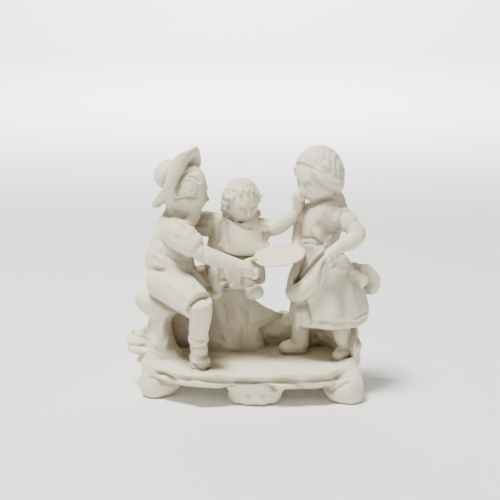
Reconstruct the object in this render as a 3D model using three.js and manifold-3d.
// Bisque figure group: a boy seated on a tree stump, a small child on a taller stump and a standing girl,
// who share one plate, on an irregular rocky base with scrolled feet.
// The group is fired as one piece, so it is one solid. Units are millimetres and +Z is up.
// X runs to the right and Y runs away from the front.
import * as THREE from "three";
import { mergeVertices } from "three/addons/utils/BufferGeometryUtils.js";
import Module from "manifold-3d";

const wasm = await Module();
wasm.setup();

// Driving dimensions
const BASE_TOP = 22; // height of the ground that the figures stand on
const BASE_UNDERSIDE = 12.1; // height of the underside between the feet, at the middle
const BASE_MIDDLE = [0, -6]; // middle of the base in plan
const SEAT_TOP = 64; // top of the boy's stump
const CHILD_SEAT_TOP = 74; // top of the taller stump
const PLATE_MIDDLE = [15.4, -14.5, 87.2];
const PLATE_RADIUS = 16;
const PLATE_TILT = [11, -7]; // degrees, front edge down and left edge down
const BOY_HEAD = { middle: [-42.8, 3, 126], size: [12.6, 13.4, 16.8], yaw: 18, pitch: -4 };
const CHILD_HEAD = { middle: [-8.6, 5, 118.9], size: [11.2, 11.4, 14.2], yaw: -62, pitch: -12 };
const GIRL_HEAD = { middle: [40.2, -3, 136.3], size: [13.8, 14.8, 17.2], yaw: 215, pitch: -10 };
const ORIGIN = [-1.06, -2.7, 0]; // middle of the group's box in the coordinates below, and its underside

const DEPTHWAYS = new THREE.Vector3(0, 1, 0); // section reference for a form that runs upwards
const UPWARDS = new THREE.Vector3(0, 0, 1); // section reference for a form that runs level

const degrees = THREE.MathUtils.degToRad;
const clamp = THREE.MathUtils.clamp;
const smoothstep = THREE.MathUtils.smoothstep;
const vector = (point) => new THREE.Vector3(...point);
const bell = (x, width) => Math.exp(-((x / width) ** 2));
const smoothCurve = (points) => new THREE.CatmullRomCurve3(points, false, "catmullrom", 0.5);

// A closed form with a sphere's faces. place(turn, along) gives the point at `turn`, 0 to 1 once round,
// and `along`, 0 to 1 from pole to pole, where turn makes no difference.
function closedForm(segments, rings, place) {
  const geometry = new THREE.SphereGeometry(1, segments, rings);
  const position = geometry.attributes.position;
  for (let i = 0; i < position.count; i++) {
    const ring = Math.floor(i / (segments + 1));
    const atPole = ring === 0 || ring === rings;
    const turn = atPole ? 0 : ((i % (segments + 1)) % segments) / segments;
    const point = place(turn, ring / rings);
    position.setXYZ(i, point.x, point.y, point.z);
  }
  return geometry;
}

// A form carried along a smooth path. Each station is [x, y, z, half width, half depth]: the width lies
// square to the path and to `reference`, and the depth square to both. Both ends are rounded over the share
// of the length that `round` gives, and swell(turn, along) scales the section.
function limb(stations, options = {}) {
  const { reference = UPWARDS, segments = 8, rings = 7, round = [0.12, 0.12], swell = () => 1 } = options;
  const path = smoothCurve(stations.map((s) => vector(s.slice(0, 3))));
  const sizes = smoothCurve(stations.map((s) => vector([s[3], s[4], 0])));
  const roundedEnd = (distance, share) => Math.sqrt(1 - Math.max(0, 1 - distance / share) ** 2);
  return closedForm(segments, rings, (turn, along) => {
    const share = clamp(along - (0.7 * Math.sin(2 * Math.PI * along)) / (2 * Math.PI), 0, 1);
    const t = path.getUtoTmapping(share);
    const size = sizes.getPoint(t);
    const tangent = path.getTangent(clamp(t, 0.001, 0.999));
    const across = new THREE.Vector3().crossVectors(tangent, reference).normalize();
    const deep = new THREE.Vector3().crossVectors(across, tangent);
    const scale = roundedEnd(share, round[0]) * roundedEnd(1 - share, round[1]) * swell(turn, share);
    const angle = 2 * Math.PI * turn;
    return path
      .getPoint(t)
      .addScaledVector(across, size.x * scale * Math.cos(angle))
      .addScaledVector(deep, size.y * scale * Math.sin(angle));
  });
}

// A thick sheet. middle(u, v) gives its middle surface for u and v from 0 to 1, and its edges thin out.
function sheet(columns, rows, thickness, middle) {
  const geometry = new THREE.BoxGeometry(1, 1, 1, columns, rows, 1);
  const position = geometry.attributes.position;
  const step = 0.01;
  for (let i = 0; i < position.count; i++) {
    const [u, v] = [position.getX(i) + 0.5, position.getY(i) + 0.5];
    const [u0, v0] = [clamp(u, step, 1 - step), clamp(v, step, 1 - step)];
    const alongU = middle(u0 + step, v0).sub(middle(u0 - step, v0));
    const alongV = middle(u0, v0 + step).sub(middle(u0, v0 - step));
    const out = alongU.cross(alongV).normalize();
    const edge = Math.min(u, 1 - u, v, 1 - v) < step ? 0.6 : 1;
    const point = middle(u, v).addScaledVector(out, (edge * thickness * Math.sign(position.getZ(i))) / 2);
    position.setXYZ(i, point.x, point.y, point.z);
  }
  return geometry;
}

// A smooth surface through rows of control points, each [x, y, z]: one curve per row, then one across them
function netSurface(net) {
  const curves = net.map((row) => smoothCurve(row.map(vector)));
  return (u, v) => smoothCurve(curves.map((curve) => curve.getPoint(u))).getPoint(v);
}

// The unit direction at `polar` from +Z and at `turn` round it
function directionAt(turn, polar) {
  const angle = -2 * Math.PI * turn;
  const reach = Math.sin(polar);
  return new THREE.Vector3(reach * Math.cos(angle), reach * Math.sin(angle), Math.cos(polar));
}

// An egg or pebble of the given half sizes, turned about Z by `yaw` and tipped about Y by `tip`, in degrees
function pebble(middle, sizes, options = {}) {
  const { yaw = 0, tip = 0, segments = 6, rings = 5 } = options;
  const rotation = new THREE.Euler(0, degrees(tip), degrees(yaw), "ZYX");
  return closedForm(segments, rings, (turn, along) =>
    directionAt(turn, Math.PI * along).multiply(vector(sizes)).applyEuler(rotation).add(vector(middle)),
  );
}

// Turns a head's own directions, [towards its right, forwards, up], into the group's
function headFrame({ middle, yaw, pitch }) {
  const turned = new THREE.Euler(degrees(pitch), 0, degrees(yaw - 90), "ZXY");
  return (right, forward, up) => new THREE.Vector3(right, forward, up).applyEuler(turned).add(vector(middle));
}

// How far a calm child's face stands proud of its egg, as a share of its half width, across and up it
function faceRelief(across, up) {
  const spot = (x, z, width, height) => bell(Math.abs(across) - x, width) * bell(up - z, height);
  const nose = 0.17 * spot(0, -0.3, 0.13, 0.1) + 0.07 * spot(0, -0.12, 0.1, 0.16);
  const eyes = 0.05 * spot(0.37, -0.06, 0.13, 0.07) - 0.1 * spot(0.36, -0.04, 0.22, 0.13);
  const cheeks = 0.08 * spot(0.46, -0.42, 0.26, 0.22);
  const lips = 0.07 * spot(0, -0.51, 0.2, 0.05) + 0.06 * spot(0, -0.63, 0.16, 0.05);
  const mouth = lips - 0.04 * spot(0, -0.57, 0.22, 0.03);
  const chin = 0.1 * spot(0, -0.84, 0.22, 0.16);
  return nose + eyes + cheeks + mouth + chin;
}

// A head as an egg with a face. Its pole is at the nose, where its faces are smallest.
function head(form, segments = 12, rings = 9) {
  const place = headFrame(form);
  const [width, depth, height] = form.size;
  return closedForm(segments, rings, (turn, along) => {
    const { x: across, y: up, z: forward } = directionAt(turn, Math.PI * along ** 1.3);
    const jaw = 1 - 0.16 * clamp(-up, 0, 1) ** 1.5;
    const proud = faceRelief(across, up) * width * smoothstep(forward, 0, 0.4);
    return place(width * across * jaw, depth * forward + proud, height * up);
  });
}

// Six soft locks round a hair bowl
const locks = (turn) => 1 + 0.03 * Math.cos(12 * Math.PI * turn);

// Hair as a bowl round the head behind its hairline. The hairline is a ring at `edge` degrees from a
// direction in front of the face, `drop` degrees below level, and wave(turn) scales the hair.
function hairBowl(form, { drop, edge, thick = 1.08, segments = 12, rings = 6, wave }) {
  const place = headFrame(form);
  const [width, depth, height] = form.size;
  const tipped = new THREE.Euler(degrees(-90 - drop), 0, 0);
  return closedForm(segments, rings, (turn, along) => {
    const ring = Math.round(along * rings);
    const polar = degrees(edge) + (Math.PI - degrees(edge)) * Math.max(0, (ring - 2) / (rings - 2));
    const scale = [0.2, 0.9][ring] ?? thick * wave(turn);
    const point = directionAt(turn, ring === 0 ? 0 : polar).multiplyScalar(scale).applyEuler(tipped);
    return place(width * point.x, depth * point.y, height * point.z);
  });
}

// A hand's fingers as short rolls side by side, each following the same bend from its own knuckle
function fingers(knuckles, bend, radius) {
  return knuckles.map((knuckle) =>
    limb(
      bend.map((step, i) => [...vector(knuckle).add(vector(step)), radius - 0.1 * i, radius - 0.1 * i]),
      { segments: 5, rings: 4, round: [0.2, 0.25], reference: vector([0.3, 0.2, 1]) },
    ),
  );
}

// The same form, flat below at the given height
function flatBelow(height, form) {
  const position = form.attributes.position;
  for (let i = 0; i < position.count; i++) position.setZ(i, Math.max(position.getZ(i), height));
  return form;
}

// A shoe from heel to toe, flat where it meets the ground
function shoe(stations) {
  return flatBelow(BASE_TOP - 0.4, limb(stations, { segments: 7, rings: 5, round: [0.25, 0.2] }));
}

// The base's outline in plan, from the right end round by the back
const BASE_OUTLINE = [
  [66, -13], [62, 14], [46, 31], [16, 38], [-18, 38], [-50, 30], [-68, 14], [-70.4, -6],
  [-62, -27], [-38, -43.5], [-14, -42], [15, -43], [41, -40.5], [58, -29],
];

// Heights up the base's edge, as a share from its underside to its top, with the inset from the outline
const BASE_EDGE = [[0, 40], [0, 4.6], [0.3, 1.2], [0.55, 2.8], [0.8, 0.8], [1, 4.2], [1, 40]];

function baseSlab() {
  const outline = new THREE.CatmullRomCurve3(BASE_OUTLINE.map(([x, y]) => new THREE.Vector3(x, y, 0)), true);
  const middle = new THREE.Vector3(...BASE_MIDDLE, 0);
  return closedForm(28, BASE_EDGE.length - 1, (turn, along) => {
    const [share, inset] = BASE_EDGE[Math.round(along * (BASE_EDGE.length - 1))];
    const edge = outline.getPoint(turn);
    const reach = edge.distanceTo(middle);
    const ripple = inset < 4.5 ? 0.8 * Math.sin(2 * Math.PI * (turn * 9 + share)) : 0;
    const atPole = along === 0 || along === 1;
    const point = middle.clone().lerp(edge, atPole ? 0 : (reach - inset + ripple) / reach);
    const underside = BASE_UNDERSIDE - 0.02 * point.x;
    return point.setZ(underside + share * (BASE_TOP - underside));
  });
}

// Feet that spread into the slab above them, each a list of stations up from just below the ground
const FEET = [
  [[-61, -17, -4, 7, 5], [-61, -17, 0, 8, 5.6], [-61, -17.6, 3.5, 10.8, 7.8], [-60, -18, 8, 12, 9],
   [-56, -16, 17, 15, 11]],
  [[0, -29, -4, 13, 5], [0, -29, 0, 14, 5.6], [0, -31, 3.5, 15.8, 7.4], [0.3, -32.6, 7.5, 16.4, 8.6],
   [0.5, -32, 12.2, 20.6, 9.6], [0.5, -31.4, 17, 25, 10]],
  [[58, -29, -4, 6, 5], [58, -29, 0, 7, 5.6], [57.8, -29.6, 3.5, 9.2, 7.8], [55.6, -28, 9, 12.4, 8.6],
   [51, -17, 18, 14, 7]],
  [[-50, 20, -4, 8, 6.4], [-50, 20, 0, 9, 7], [-50, 20, 3.5, 10.6, 8.4], [-50, 20, 8, 11, 9.4],
   [-49, 18, 17, 12.6, 11]],
  [[0, 29, -4, 11, 5.4], [0, 29, 0, 12, 6], [0, 29, 3.5, 13.6, 7.2], [0, 29, 7.5, 14.6, 8],
   [0, 27, 16, 19, 10]],
  [[48, 18, -4, 7, 6.4], [48, 18, 0, 8, 7], [48, 18, 3.5, 9.6, 8.4], [48, 18, 8, 10, 9.4],
   [47, 17, 17, 12, 11]],
];
const SHELL_FOOT = 1; // place of the middle front foot in the list

function base() {
  // The middle front foot is a shell with ribs; the others are plain
  const plain = { reference: DEPTHWAYS, segments: 9, rings: 5, round: [0.03, 0.05] };
  const ribbed = {
    ...plain, segments: 16, swell: (turn, along) => 1 + 0.06 * Math.cos(20 * Math.PI * turn) * (1 - along),
  };
  const feet = FEET.map((stations, i) => flatBelow(0, limb(stations, i === SHELL_FOOT ? ribbed : plain)));
  return [baseSlab(), ...feet];
}

// Rock layers that jut from the base's left end, and the bank along its back
function rocks() {
  const ledge = [
    [-68.6, 2, 25, 12.2, 13, 4.6], [-70.6, 5, 29.6, 11.8, 12, 4], [-68, 8, 33.6, 10.4, 11, 3],
  ].map(([x, y, z, ...size]) => pebble([x, y, z], size, { segments: 8, yaw: 20, tip: 4 }));
  const bank = limb(
    [
      [-57, 9, 33, 9, 16], [-46, 17, 34, 11, 18], [-26, 25, 34, 13, 20], [-4, 25, 34, 11, 16],
      [14, 24, 31, 10, 10.6], [32, 23, 31.6, 11, 12], [47, 18, 32, 10, 11], [58, 5, 31, 7.5, 11.5],
      [62.4, -10, 27, 4, 12], [62.6, -20, 20, 3.2, 9],
    ],
    { segments: 8, rings: 13, round: [0.08, 0.08],
      swell: (turn, along) => 1 + 0.05 * Math.sin(24 * along + 2 * Math.PI * turn) },
  );
  const barkFlake = sheet(3, 3, 3.2, netSurface([
    [[-3, 11, 56.5], [5, 13, 50.2], [12, 16, 45.6], [19, 20, 42.8]],
    [[-5, 8, 45], [3, 10, 42], [10, 14, 41], [16, 19, 40.6]],
    [[-6, 6, 34], [0, 9, 35], [6, 13, 37], [13, 18, 39.4]],
  ]));
  return [...ledge, bank, barkFlake];
}

function stumps() {
  const bark = (ridges, depth) => (turn, along) =>
    1 + depth * Math.sin(2 * Math.PI * ridges * turn + 5 * along) * (1 - 0.6 * along);
  const boySeat = limb(
    [
      [-59, -2, 18, 17, 15], [-60, -2, 27, 10.6, 12], [-59.8, -2, 40, 7.8, 10.5], [-59, -2, 47, 7.8, 11],
      [-58.8, -2, 52.6, 15, 13], [-58, -2, 58, 18, 13.4], [-57.6, -2, SEAT_TOP, 14.6, 10],
    ],
    { reference: DEPTHWAYS, segments: 11, rings: 8, round: [0.03, 0.03], swell: bark(4, 0.04) },
  );
  const childSeat = limb(
    [
      [-15, 17, 19, 27, 17], [-14, 17, 32, 19.5, 13.5], [-15.5, 18, 48, 16.5, 13],
      [-17.4, 18.5, 62, 19.4, 14],
      [-18, 18.5, 70, 21, 15], [-18, 18.5, CHILD_SEAT_TOP, 19, 13.5],
    ],
    { reference: DEPTHWAYS, segments: 12, rings: 8, round: [0.03, 0.03], swell: bark(5, 0.05) },
  );
  return [boySeat, childSeat];
}

function boy() {
  const shirt = limb(
    [
      [-54, -6, 72, 10.6, 10.5], [-53, -6, 78, 13.4, 12.5], [-53.2, -5, 85, 14.8, 12.5],
      [-51.6, -3, 93, 13, 12],
      [-49.8, -1, 101, 12, 12.6], [-47.6, 1, 107.4, 10.8, 12.2], [-44.4, 2.4, 111.8, 10.6, 9],
      [-44, 3, 115, 11.4, 8.4],
      [-43.6, 3, 119, 10, 7.6],
    ],
    { reference: DEPTHWAYS, segments: 11, rings: 8, round: [0.06, 0.04] },
  );
  const nearBreeches = limb(
    [
      [-60.4, -2, 71, 10, 9.5], [-56, -8, 71.5, 12.8, 12], [-49.5, -17, 70, 12.4, 11.6],
      [-43, -25, 67.5, 11.4, 11],
      [-37, -32, 64.5, 10, 10.2], [-33.5, -36, 62.4, 9.2, 9.8],
    ],
    { segments: 10, rings: 7, round: [0.14, 0.05] },
  );
  const farBreeches = limb(
    [[-56, 2, 71, 11, 10.5], [-47, -2, 70, 11, 10.5], [-38.6, -8, 66, 9.4, 9.6], [-34.5, -12, 62, 8.6, 9]],
    { rings: 5, round: [0.14, 0.05] },
  );
  // A stocking from the knee at x and y down to the ankle, which stands `lean` further back
  const stocking = (x, y, lean, segments) =>
    limb(
      [
        [0, 0.6, 67, 8, 8], [0.8, 0.2, 60, 7, 7.6], [0.4, 0, 53, 6.5, 7], [-0.6, 0, 46, 5.9, 6.4],
        [-0.9, 0, 40.5, 6, 6.4], [-0.9, 0, 37, 5.4, 5.7], [-0.6, 0, 31, 5.1, 5.3],
        [-0.4, -0.6, 24, 5.1, 5.6],
      ].map(([dx, dy, z, ...size]) => [x + dx, y + dy + (lean * (66 - z)) / 42, z, ...size]),
      { reference: DEPTHWAYS, segments, rings: 8, round: [0.06, 0.05] },
    );
  const nearSleeve = limb(
    [
      [-54, -7, 105.4, 7.4, 7.2], [-49.6, -12, 103.6, 8.6, 8.8], [-43.5, -17, 100.5, 8.6, 9],
      [-37.5, -20, 96.5, 7.4, 8],
      [-33, -21.5, 93.5, 6.2, 6.6],
    ],
    { segments: 9, rings: 6, round: [0.2, 0.16] },
  );
  const nearForearm = limb(
    [
      [-39, -20, 97, 5, 5.2], [-31, -22, 91.6, 5.4, 5.4], [-24, -23, 89.2, 5, 5],
      [-16, -23.5, 86.8, 4.4, 4.3],
      [-9.5, -23.5, 85, 3.8, 3.6], [-4.5, -23.2, 83.2, 5, 3.8], [-0.5, -22.6, 81.6, 4.8, 3.4],
    ],
    { rings: 8, round: [0.1, 0.08] },
  );
  const nearFingers = fingers(
    [[-1.5, -26.4, 82.2], [-0.9, -24.1, 82.3], [-0.5, -21.7, 82.2], [-0.7, -19.4, 81.9]],
    [[0, 0, 0], [2.6, 0, -1.2], [2.4, 0, -4], [-0.6, 0, -4.6]],
    1.45,
  );
  const nearPalm = pebble([-3.4, -23, 80.6], [5.4, 4.2, 3.6], { segments: 7, rings: 4 });
  const nearThumb = limb(
    [[-7, -20.5, 85.2, 1.9, 1.8], [-3, -19.3, 87, 1.8, 1.7], [1.6, -18.8, 88.2, 1.6, 1.4]],
    { segments: 5, rings: 4, round: [0.2, 0.2] },
  );
  const farArm = limb(
    [
      [-48, 10, 105.4, 7, 7.4], [-45.6, 14, 98, 7.4, 7.6], [-46.4, 15, 90.6, 6.4, 6.4], [-44, 10, 84, 5, 5],
      [-42, 4, 79.6, 4.4, 4.2], [-39.6, -3, 76.6, 4.8, 3],
    ],
    { segments: 7, rings: 6, round: [0.1, 0.08], reference: vector([0.2, 0.1, 1]) },
  );
  const shoes = [
    shoe([[-35.6, -20, 26, 4.6, 4], [-34.8, -24, 26.6, 5.6, 5.4], [-33.6, -28, 26, 6, 4.8],
      [-32.6, -31.4, 25, 6, 3.6], [-31.8, -34, 24.2, 4.8, 2.6]]),
    shoe([[-35.8, -3, 26, 4, 4], [-35.4, -7, 26.5, 5.2, 5.4], [-34.8, -11, 26, 5.2, 4.6],
      [-34.2, -14.6, 25, 5, 3.4], [-33.8, -17.4, 24.2, 4, 2.4]]),
  ];
  return [
    shirt, nearBreeches, farBreeches, stocking(-33.4, -37, 10.5, 8), stocking(-34.2, -12, 5, 6),
    nearSleeve, nearForearm, nearPalm, ...nearFingers, nearThumb, farArm, ...shoes,
    head(BOY_HEAD),
    hairBowl(BOY_HEAD, { drop: 56, edge: 86, thick: 1.05, wave: locks }),
    ...hat(),
  ];
}

const HAT_MIDDLE = [-47.6, 4, 133]; // middle of the opening that sits on the head
const HAT_TILT = 62.7; // degrees from level up to the brim's peak
// The brim's edge from its peak round by the near side. Each point says how far it lies towards the peak,
// towards the near side and towards the crown.
const BRIM_EDGE = [
  [24, 0, -1.4], [20.6, 5.2, 2.8], [15.4, 11.5, 7.8], [7, 15, 8.6], [-4, 15.4, 6.6], [-11.4, 13, 7],
  [-19.4, 7, 7.6], [-22.6, 0, 6.4], [-21.6, -8, 2.4], [-8, -15, 0], [4, -15, -4.8], [11.6, -13, -9.2],
  [19.6, -5.6, -5.6],
];

// A soft felt hat pushed to the back of the head. Its brim turns up on the near side and rises to a peak.
function hat() {
  const tilt = degrees(HAT_TILT);
  const front = new THREE.Vector3(Math.cos(tilt), 0, Math.sin(tilt));
  const crownward = new THREE.Vector3(-Math.sin(tilt), 0, Math.cos(tilt));
  const onHat = (peak, near, crown) =>
    vector(HAT_MIDDLE)
      .addScaledVector(front, peak)
      .addScaledVector(DEPTHWAYS, -near)
      .addScaledVector(crownward, crown);
  const edge = new THREE.CatmullRomCurve3(BRIM_EDGE.map(vector), true, "catmullrom", 0.5);
  const opening = (turn) => {
    const angle = 2 * Math.PI * turn;
    return new THREE.Vector3(12 * Math.cos(angle), 1 + 13.6 * Math.sin(angle), 0);
  };
  // From the head's side of the brim over its edge and back to the crown, its thickness laid off across it
  const brim = closedForm(16, 6, (turn, along) => {
    const ring = Math.round(along * 6);
    const share = [0, 0, 0.55, 1, 0.55, 0, 0][ring];
    const side = [-1, -1, -0.8, 0, 0.8, 1, 1][ring];
    const [inner, outer] = [opening(turn), edge.getPoint(turn)];
    const across = outer.clone().sub(inner).cross(edge.getTangent(turn)).normalize();
    const point = inner.lerp(outer, share).addScaledVector(across, share === 0.55 ? side - 1 : side);
    return ring === 0 || ring === 6 ? onHat(0, 0, side) : onHat(...point);
  });
  const crown = closedForm(10, 6, (turn, along) => {
    const { x, y, z } = directionAt(turn, Math.PI * along);
    return onHat(0.2 + 9.6 * x, 10.6 * y, 5.8 + 10 * z);
  });
  return [brim, crown];
}

function child() {
  const dress = limb(
    [
      [-14, 14, 70, 16.4, 11], [-14, 13, 80, 17.4, 12], [-13, 12, 90, 16.6, 11.2], [-12.4, 10, 98, 16, 10],
      [-10, 8.5, 104, 12.6, 8.8], [-9.6, 8.4, 108.6, 11.6, 8.4], [-9.4, 8, 113.4, 10.4, 7.4],
    ],
    { reference: DEPTHWAYS, segments: 11, rings: 8, round: [0.06, 0.04] },
  );
  const lap = limb(
    [[-11, 14, 79, 13.4, 8], [-11.6, 4, 79.5, 13.6, 7.6], [-12, -4, 78, 13.6, 7.4],
     [-12, -9, 73, 12.4, 5.5],
      [-12, -9.5, 66.5, 11.6, 3.4]],
    { segments: 12, rings: 6, round: [0.08, 0.04],
      swell: (turn, along) => 1 + 0.05 * Math.cos(8 * Math.PI * turn) * along },
  );
  const sideHem = limb(
    [[-1, 6, 86, 4, 4], [0.8, 1, 80, 4.8, 4], [2, 0, 73, 5, 3.4], [1.6, 0.5, 66.8, 4.6, 2.6]],
    { segments: 6, rings: 4, round: [0.1, 0.12], reference: DEPTHWAYS },
  );
  const bib = sheet(6, 3, 2, (u, v) => {
    const angle = degrees(-78 + 156 * u);
    const [reach, deep] = [9.2 + 6.8 * v, 8.4 + 4.6 * v];
    const corner = 1 - 0.26 * Math.abs(2 * u - 1) ** 2.5 * v;
    return new THREE.Vector3(
      -8.6 + 2.4 * v + reach * Math.sin(angle),
      6.4 - deep * Math.cos(angle) - 1.2 * v,
      106.6 - 19.4 * v * corner + 3.5 * Math.abs(Math.sin(angle)) * (1 - v),
    );
  });
  const nearArm = [
    limb([[-1, 8, 101.6, 6.2, 6.8], [5, 7, 100.8, 6.6, 7.2], [10, 5.5, 99.6, 6.2, 6.8]],
      { rings: 4, round: [0.2, 0.08] }),
    limb(
      [
        [7, 6, 101, 4.5, 4.5], [13, 3.5, 102, 4.5, 4.5], [19, 0, 106.6, 4.4, 4.2],
        [23.8, -2.6, 111.6, 3.9, 3.8],
        [26.6, -3.8, 116, 3.2, 3.2], [27.2, -4.2, 120, 3.9, 3.9], [27.2, -4.4, 124.4, 3.9, 3.8],
        [27.6, -4.4, 128.4, 2.8, 2.8],
      ],
      { rings: 8, round: [0.08, 0.1], reference: DEPTHWAYS },
    ),
  ];
  const farArm = [
    limb([[-17, 9, 103.6, 6.4, 7.2], [-26, 10.5, 103.4, 6.9, 7.8], [-36, 13, 103.4, 6.6, 7.6]],
      { rings: 4, round: [0.2, 0.08] }),
    limb([[-32, 12, 103, 4, 4], [-40, 14.5, 103.5, 4, 4], [-47, 15.5, 106, 3.4, 3.4], [-52, 14, 109, 4, 2.6]],
      { segments: 6, rings: 5, round: [0.1, 0.12] }),
  ];
  const shin = { reference: DEPTHWAYS, segments: 6, rings: 4, round: [0.1, 0.1] };
  const foot = { segments: 6, rings: 5, round: [0.2, 0.2] };
  return [
    dress, lap, sideHem, bib, ...nearArm, ...farArm,
    limb(
      [[-22.6, -6, 81, 4.6, 4.6], [-24.4, -8.6, 75, 4.2, 4.4], [-25, -9.4, 70, 3.6, 3.8],
        [-24.6, -9.6, 65.6, 3.8, 3.9]],
      shin,
    ),
    limb(
      [[-21.4, -7.4, 65.2, 3.2, 3], [-23, -9.8, 65, 4, 3.9], [-25, -12.8, 64.2, 4, 3.5],
        [-26.8, -16, 63.4, 3, 2.4]],
      foot,
    ),
    limb(
      [[-4.4, -7, 81, 5, 5], [-4.2, -9.6, 75, 4.9, 4.8], [-3.6, -10, 70, 4.4, 4.4],
       [-3, -10, 66, 4.4, 4.4]],
      shin,
    ),
    limb(
      [[-4, -8.4, 64.6, 3.6, 3.6], [-1.8, -10.8, 64.8, 4.6, 4.7], [1.4, -13.6, 65.6, 4.6, 4.6],
        [4, -16, 66.8, 3.6, 3.8]],
      foot,
    ),
    head(CHILD_HEAD),
    hairBowl(CHILD_HEAD, { drop: 45, edge: 91, thick: 1.09, wave: locks }),
    limb(
      [[-8, 12, 107, 2.4, 2.4], [-2, 13, 109.6, 2.6, 2], [4.2, 12.6, 110, 1.8, 2.6]], // the bib's tie
      { segments: 6, rings: 4 },
    ),
  ];
}

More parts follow.
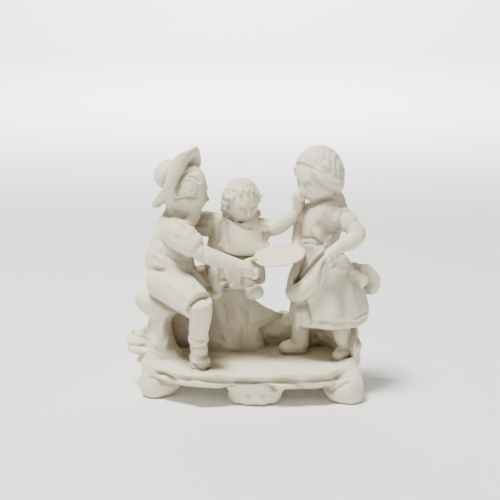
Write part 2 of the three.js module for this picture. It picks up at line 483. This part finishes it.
function girl() {
  const bodice = limb(
    [
      [41, -4, 92, 10.4, 9.4], [41.4, -4, 96, 11.2, 9.8], [41.8, -4, 103, 12, 10.6],
      [43, -4, 109, 12.9, 11.8],
      [45.2, -4, 115.4, 12.4, 12.4], [46, -3.5, 119.6, 10.6, 10], [45, -3, 122.4, 9.2, 8.8],
      [43, -3, 125.6, 7.4, 7],
    ],
    { reference: DEPTHWAYS, segments: 11, rings: 8, round: [0.04, 0.04] },
  );
  // The apron stands proud of the skirt from her far hip round the front to the gather at her hand
  const folds = (turn, along) => 0.04 * Math.cos(16 * Math.PI * turn) * (1 - along);
  const apronEdge = (turn) => smoothstep(turn, 0.5, 0.54) * (1 - smoothstep(turn, 0.8, 0.84));
  const skirt = limb(
    [
      [46.8, -5, 44, 23.2, 20.6], [46.8, -5, 47.5, 23.8, 21], [46.8, -5, 55, 23.6, 20.4],
      [45.8, -5, 67, 20.8, 18.4],
      [42.8, -4.6, 80, 16, 14.4], [41, -4, 90, 12, 11.2], [41, -4, 95, 10.6, 9.8],
    ],
    {
      reference: DEPTHWAYS, segments: 24, rings: 7, round: [0.02, 0.04],
      swell: (turn, along) => 1 + folds(turn, along) + 0.07 * apronEdge(turn) * smoothstep(along, 0.1, 0.14),
    },
  );
  const pouch = sheet(5, 3, 3, netSurface([
    [[19.6, -9, 67], [27.9, -19, 73.6], [35.5, -24.5, 83.5], [43, -26, 93]],
    [[19.8, -12, 65], [28.4, -24, 70], [36.6, -28, 79.5], [44.4, -27.6, 88]],
    [[21, -12, 62], [29.7, -23, 64.6], [37.3, -26.6, 71.8], [43, -25.6, 80.5]],
    [[23.4, -8, 58.4], [30.5, -18, 60], [37, -21.6, 64], [41.2, -21, 72.6]],
  ]));
  const farApron = limb(
    [[30, -6, 92, 2.4, 6], [26.6, -6, 80, 3, 9], [23.6, -5, 71, 3, 10], [22.4, -5, 62, 2.6, 9]],
    { reference: DEPTHWAYS, segments: 6, rings: 4, round: [0.06, 0.06] },
  );
  const hangingFold = limb(
    [[27.6, -11, 64, 2.2, 4.6], [27, -12.6, 52, 2.5, 6], [26.8, -13, 41.8, 2.5, 6.2]],
    { reference: DEPTHWAYS, segments: 6, rings: 3, round: [0.08, 0.05] },
  );
  const nearArm = [
    limb(
      [[49, -8, 113, 7, 6.6], [53.4, -11.5, 111.8, 7.2, 7.2], [57, -13.5, 109.6, 6.8, 6.8],
        [59.6, -14.8, 107, 6.2, 6.2]],
      { rings: 5, round: [0.2, 0.14], reference: DEPTHWAYS },
    ),
    limb(
      [
        [56, -13, 110.4, 5.2, 5.4], [60, -15.5, 107, 5.5, 5.6], [62.4, -17.8, 102.6, 5.6, 5.8],
        [58.2, -20.5, 98.8, 5, 5],
        [53, -23, 96.8, 4.3, 4.3], [49.2, -25.4, 95, 3.8, 3.8], [46.4, -27.6, 91.8, 4.8, 4.6],
        [45, -28.4, 88.4, 4, 3.8],
      ],
      { rings: 9, round: [0.08, 0.12], reference: vector([0.3, 1, 0.2]) },
    ),
    ...fingers(
      [[44.2, -31.2, 92.2], [45.8, -31.4, 90.6], [47.2, -31, 88.8]],
      [[0, 0, 0], [-2, -0.6, -0.8], [-3.2, 1, -1.6]],
      1.5,
    ),
  ];
  const farArm = [
    limb([[37, 0, 113.6, 6.4, 7], [32, 2, 111.2, 6.8, 7], [29.4, 3, 107.6, 6, 6.4]],
      { segments: 7, rings: 4, round: [0.2, 0.08], reference: DEPTHWAYS }),
    limb(
      [
        [29.4, 3, 109, 4.4, 4.4], [28.6, 2.4, 101, 4.7, 4.7], [27.4, 0, 95, 4.2, 4.2],
        [26.6, -3.6, 91, 3.4, 3.4],
        [26.4, -7, 89, 3.8, 2.8], [25.4, -10, 88, 3, 2],
      ],
      { segments: 6, rings: 6, round: [0.1, 0.12], reference: vector([1, 0.2, 0.2]) },
    ),
  ];
  const bow = [
    limb(
      [[52, -8, 85, 3, 2], [57, -14.5, 80.6, 3.4, 1.6], [62.6, -17.4, 75.8, 4.6, 1.6],
        [69, -18, 71.8, 5, 1.5]],
      { rings: 6, round: [0.1, 0.14], reference: vector([0, 1, 0.3]) },
    ),
    limb([[56, -3, 77.6, 4, 2], [63.6, -2, 76.6, 4.6, 1.8], [70.4, -1, 74.2, 5.6, 1.7],
      [73.4, -1, 68.4, 5.8, 1.6], [71.8, -1, 60.4, 4.6, 1.4]],
    { rings: 6, round: [0.1, 0.12], reference: DEPTHWAYS }),
    pebble([54.8, -11.4, 85.2], [3.2, 3.4, 3.4], { rings: 4 }),
  ];
  const leg = { reference: DEPTHWAYS, segments: 7, rings: 4, round: [0.06, 0.06] };
  return [
    bodice, skirt, hangingFold, pouch, farApron, ...nearArm, ...farArm, ...bow,
    limb(
      [[54.4, -11, 47, 6, 6], [54.6, -12, 38, 5.6, 5.8], [57, -10.6, 31, 4.8, 5.2],
        [58.4, -9.4, 25.5, 4.8, 5.2]],
      leg,
    ),
    limb(
      [[29.6, 1, 47, 6.2, 6], [29.4, 1.4, 38, 5.8, 5.6], [29.2, 2, 31, 5.6, 5.4],
       [29.6, 2, 25.5, 5.4, 5.2]],
      leg,
    ),
    shoe([[60.6, -8.4, 26, 4, 4.2], [58, -10.6, 26.6, 5, 5.4], [54.8, -13.6, 26, 5, 4.6],
      [52, -16.4, 25.2, 4.4, 3.4], [50, -18.4, 24.4, 3.2, 2.4]]),
    shoe([[34, 2.6, 26, 4.4, 4.6], [30, 2.2, 27, 5.2, 5.6], [24.6, 1.8, 26.2, 5.2, 4.6],
      [19, 1.4, 25.4, 4.8, 3.6], [15.4, 1.2, 24.4, 3.4, 2.4]]),
    head(GIRL_HEAD),
    hairBowl(GIRL_HEAD, { drop: 38, edge: 78, thick: 1.12, rings: 7, wave: napeTuck }),
    ...hairRolls(),
  ];
}

// The hair drawn in a little over the nape
const napeTuck = (turn) => 1 - 0.13 * bell(turn - 0.75, 0.16);

// Rolls of hair from the parting over each ear to the nape
function hairRolls() {
  const place = headFrame(GIRL_HEAD);
  const [width, depth, height] = GIRL_HEAD.size;
  return [-1, 1].map((side) =>
    limb(
      [[0.5, 0.74, 0.5, 2], [0.88, 0.46, 0.16, 2.8], [1.02, 0.04, -0.12, 3], [0.9, -0.48, -0.34, 2.8]].map(
        ([right, forward, up, size]) => [
          ...place(side * right * width, forward * depth, up * height), size, size,
        ],
      ),
      { segments: 5, rings: 5, round: [0.15, 0.15] },
    ),
  );
}

function plate() {
  const profile = [
    [0, 0.8], [10, 0.8], [PLATE_RADIUS - 0.4, 2.2], [PLATE_RADIUS, 1.6], [10.6, -0.9], [0, -0.9],
  ];
  const dish = new THREE.LatheGeometry(profile.map(([x, y]) => new THREE.Vector2(x, y)), 20);
  dish.rotateX(Math.PI / 2 + degrees(PLATE_TILT[0])).rotateY(degrees(PLATE_TILT[1]));
  return [dish.translate(...PLATE_MIDDLE)];
}

// A closed geometry as a solid that faces outwards
function solid(geometry) {
  const bare = geometry.clone();
  bare.deleteAttribute("normal");
  bare.deleteAttribute("uv");
  const merged = mergeVertices(bare, 1e-4);
  const vertProperties = merged.attributes.position.array;
  const triVerts = new Uint32Array(merged.index.array);
  const build = () => new wasm.Manifold(new wasm.Mesh({ numProp: 3, vertProperties, triVerts }));
  const made = build();
  if (made.volume() > 0) return made;
  for (let i = 0; i < triVerts.length; i += 3) {
    [triVerts[i], triVerts[i + 1]] = [triVerts[i + 1], triVerts[i]];
  }
  return build();
}

// Several closed geometries as one solid's geometry
function fuse(geometries) {
  const joined = geometries.map(solid).reduce((whole, piece) => whole.add(piece)).getMesh();
  const geometry = new THREE.BufferGeometry();
  geometry.setAttribute("position", new THREE.BufferAttribute(joined.vertProperties, joined.numProp));
  geometry.setIndex(new THREE.BufferAttribute(joined.triVerts, 1));
  geometry.computeVertexNormals();
  return geometry;
}

const bisque = new THREE.MeshStandardMaterial({ color: 0xe6e1d6, roughness: 0.85, metalness: 0 });
const forms = [...base(), ...rocks(), ...stumps(), ...boy(), ...child(), ...girl(), ...plate()];
const figureGroup = new THREE.Mesh(fuse(forms), bisque);
figureGroup.name = "figure_group";
figureGroup.position.set(...ORIGIN.map((distance) => -distance));

const group = new THREE.Group();
group.add(figureGroup);

export default group;
